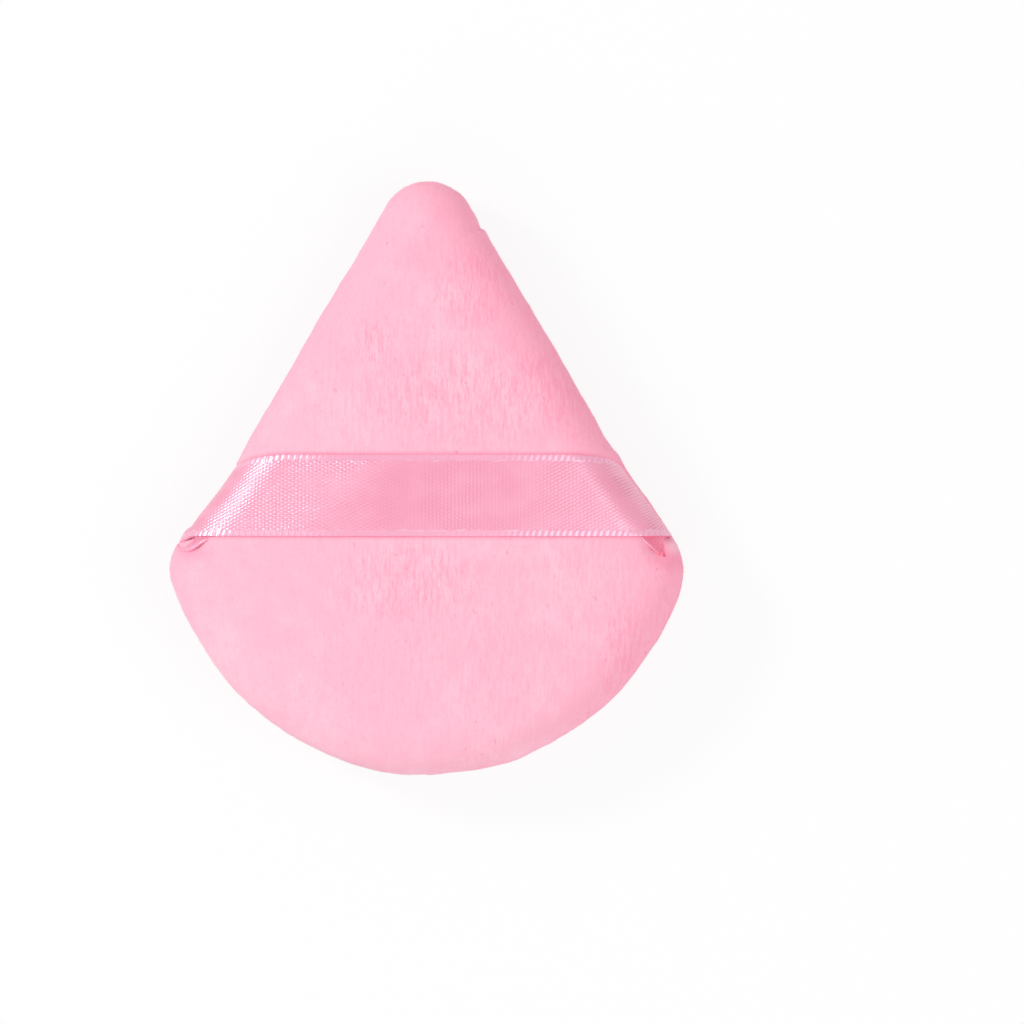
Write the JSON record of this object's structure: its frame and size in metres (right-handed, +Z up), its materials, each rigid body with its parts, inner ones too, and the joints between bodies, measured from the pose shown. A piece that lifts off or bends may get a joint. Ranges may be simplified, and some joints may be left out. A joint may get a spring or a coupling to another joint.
{
  "type": "powder puff",
  "caption": "Teardrop-shaped velour powder puff over a foam core, with a satin finger strap sewn across its front.",
  "frame": {"origin": "centre of the bounding box at the level of the flattened back that the puff rests on", "axes": "+Y towards the pointed tip, +X across the puff towards the side with the hand-closed gap, +Z up out of the face that carries the strap"},
  "size_m": [0.0612, 0.07, 0.0137],
  "materials": {
    "velour": "short dense pile, soft pink",
    "satin": "satin weave ribbon, soft sheen",
    "thread": "twisted polyester thread",
    "foam": "open-cell foam, off-white"
  },
  "bodies": {
    "pad": {"front_velour_panel": "velour", "back_velour_panel": "velour", "foam_core": "foam", "strap_right_end": "satin", "strap_left_end": "satin", "needle_thread": "thread", "bobbin_thread": "thread", "closing_thread": "thread"},
    "strap": {"strap_band": "satin"}
  },
  "joints": [
    {"name": "strap_lift", "type": "slide", "parent": "pad", "child": "strap", "axis": [0, 0, 1], "range_m": [0, 0.007], "deforming": ["strap_right_end", "strap_left_end"]}
  ]
}
